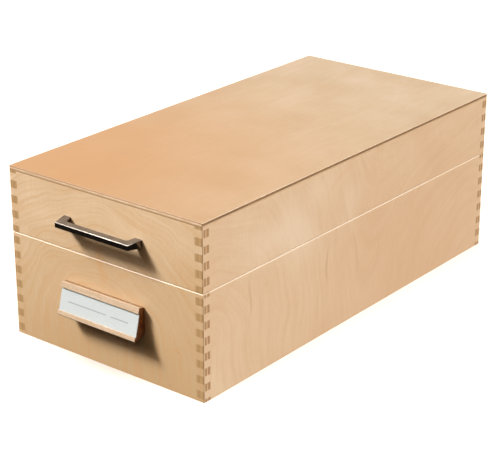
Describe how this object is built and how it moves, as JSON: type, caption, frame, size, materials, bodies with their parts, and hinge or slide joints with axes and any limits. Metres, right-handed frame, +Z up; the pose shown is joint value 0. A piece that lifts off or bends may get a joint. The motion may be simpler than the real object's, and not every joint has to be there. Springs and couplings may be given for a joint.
{
  "type": "archival box",
  "caption": "Finger-jointed plywood card box with a hinged lid, a metal bar pull, and a leaning wooden label block on the front.",
  "frame": {"origin": "centre of the underside, on the surface that the box stands on", "axes": "+Z up, the front with the pull and label faces -Y, +X to the right of someone facing the back from the front"},
  "size_m": [0.172, 0.3616, 0.126],
  "materials": {
    "birch_plywood": "clear matt lacquer",
    "birch_top": "clear matt lacquer",
    "beech": "clear matt lacquer",
    "bronzed_metal": "dark bronzed, semi-gloss",
    "hinge_steel": "nickel plated",
    "screw_steel": "nickel plated",
    "label_paper": "uncoated white card",
    "clear_strip": "clear film"
  },
  "bodies": {
    "case_body": {"body_front_panel": "birch_plywood", "body_back_panel": "birch_plywood", "body_left_panel": "birch_plywood", "body_right_panel": "birch_plywood", "bottom_panel": "birch_plywood", "label_block": "beech", "label_block_screws": "screw_steel", "hinge_body_screws": "screw_steel", "left_hinge_body_leaf": "hinge_steel", "right_hinge_body_leaf": "hinge_steel", "left_hinge_pin": "hinge_steel", "right_hinge_pin": "hinge_steel"},
    "lid": {"lid_front_panel": "birch_plywood", "lid_back_panel": "birch_plywood", "lid_left_panel": "birch_plywood", "lid_right_panel": "birch_plywood", "lid_top_panel": "birch_top", "lid_handle": "bronzed_metal", "handle_screws": "screw_steel", "hinge_lid_screws": "screw_steel", "left_hinge_lid_leaf": "hinge_steel", "right_hinge_lid_leaf": "hinge_steel"},
    "label_insert": {"label_card": "label_paper", "label_cover": "clear_strip"}
  },
  "joints": [
    {"name": "lid_hinge", "type": "hinge", "parent": "case_body", "child": "lid", "pos_m": [0, 0.1745, 0.0775], "axis": [-1, 0, 0], "range_deg": [0, 100]},
    {"name": "label_slide", "type": "slide", "parent": "case_body", "child": "label_insert", "axis": [1, 0, 0], "range_m": [0, 0.06]}
  ]
}
